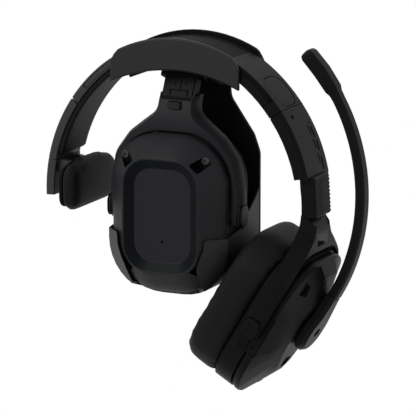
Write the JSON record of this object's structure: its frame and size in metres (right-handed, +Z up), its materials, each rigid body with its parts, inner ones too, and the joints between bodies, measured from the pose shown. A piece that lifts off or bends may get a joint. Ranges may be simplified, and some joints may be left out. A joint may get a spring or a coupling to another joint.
{
  "type": "boom headset with stowage hanger",
  "caption": "Over-ear boom headset with a padded sprung band, a temple pad and a clip-on second ear cup, hung on its stowage hanger.",
  "frame": {"origin": "centre of the hanger's four mounting holes, on the back face of its plate", "axes": "+Z up, -Y out of the plate towards the user, +X to the right as the user faces it"},
  "size_m": [0.2079, 0.0926, 0.2132],
  "materials": {
    "black": "fine grain",
    "charcoal": "fine grain",
    "rubber": "smooth",
    "leather": "fine grained leatherette",
    "steel": "satin",
    "cloth": "woven",
    "board": "lacquered",
    "battery": "wrapped"
  },
  "bodies": {
    "hanger": {"back_plate": "black", "saddle": "black", "front_lip": "charcoal", "saddle_liner": "rubber", "left_claw": "black", "right_claw": "black", "hanger_screws": "steel", "stem_connector": "black", "second_stem": "charcoal"},
    "headband": {"crown_cover": "charcoal", "crown_inlay": "charcoal", "crown_spring": "steel", "crown_pad": "leather", "left_shoulder": "charcoal", "right_shoulder": "charcoal", "left_trim": "black", "right_trim": "black", "left_band": "charcoal", "right_band": "charcoal", "left_liner": "rubber", "right_liner": "rubber", "control_cover": "black"},
    "left_end": {"left_end": "charcoal", "temple_pin": "steel"},
    "temple_pad": {"temple_carrier": "black", "temple_pad": "leather"},
    "right_arm": {"right_blade": "steel", "right_grip": "black", "right_yoke": "charcoal", "right_yoke_pins": "steel", "right_pivot_caps": "black"},
    "right_cup": {"right_housing": "charcoal", "right_shell": "charcoal", "right_baffle": "black", "right_driver": "steel", "right_grille": "cloth", "right_cushion": "leather", "right_board": "board", "right_battery": "battery", "charge_port": "steel", "boom_pin": "steel"},
    "noise_button": {"noise_button": "black"},
    "boom": {"boom_paddle": "charcoal", "boom_arm": "charcoal", "mic_head": "charcoal", "mic_capsule": "cloth"},
    "second_yoke": {"second_yoke": "charcoal", "second_yoke_pins": "steel", "second_pivot_caps": "black"},
    "release_button": {"release_button": "black"},
    "second_cup": {"second_housing": "charcoal", "second_shell": "charcoal", "second_baffle": "black", "second_driver": "steel", "second_grille": "cloth", "second_cushion": "leather", "second_shell_screws": "steel"}
  },
  "joints": [
    {"name": "lift_off", "type": "slide", "parent": "hanger", "child": "headband", "axis": [0.5, 0, 0.866], "range_m": [0, 0.018]},
    {"name": "left_size", "type": "slide", "parent": "headband", "child": "left_end", "axis": [-0.2588, 0, -0.9659], "range_m": [0, 0.015]},
    {"name": "temple_tilt", "type": "hinge", "parent": "left_end", "child": "temple_pad", "pos_m": [-0.07682, -0.022, 0.02099], "axis": [0, 1, 0], "range_deg": [-10, 10]},
    {"name": "right_size", "type": "slide", "parent": "headband", "child": "right_arm", "axis": [0.2588, 0, -0.9659], "range_m": [0, 0.015]},
    {"name": "right_tilt", "type": "hinge", "parent": "right_arm", "child": "right_cup", "pos_m": [0.0626, -0.022, -0.0597], "axis": [0, 1, 0], "range_deg": [-10, 3]},
    {"name": "boom_swing", "type": "hinge", "parent": "right_cup", "child": "boom", "pos_m": [0.08095, -0.022, -0.06606], "axis": [0.8572, 0, -0.515], "range_deg": [0, 125]},
    {"name": "noise_press", "type": "slide", "parent": "right_cup", "child": "noise_button", "axis": [0, 1, 0], "range_m": [0, 0.0008], "stiffness_N_per_m": 600},
    {"name": "second_size", "type": "slide", "parent": "hanger", "child": "second_yoke", "axis": [0, 0.4384, 0.8988], "range_m": [0, 0.004]},
    {"name": "release_press", "type": "slide", "parent": "second_yoke", "child": "release_button", "axis": [0, 1, 0], "range_m": [0, 0.001], "stiffness_N_per_m": 600},
    {"name": "second_tilt", "type": "hinge", "parent": "second_yoke", "child": "second_cup", "pos_m": [0, -0.0344, 0.001], "axis": [1, 0, 0], "range_deg": [0, 2.5]}
  ]
}
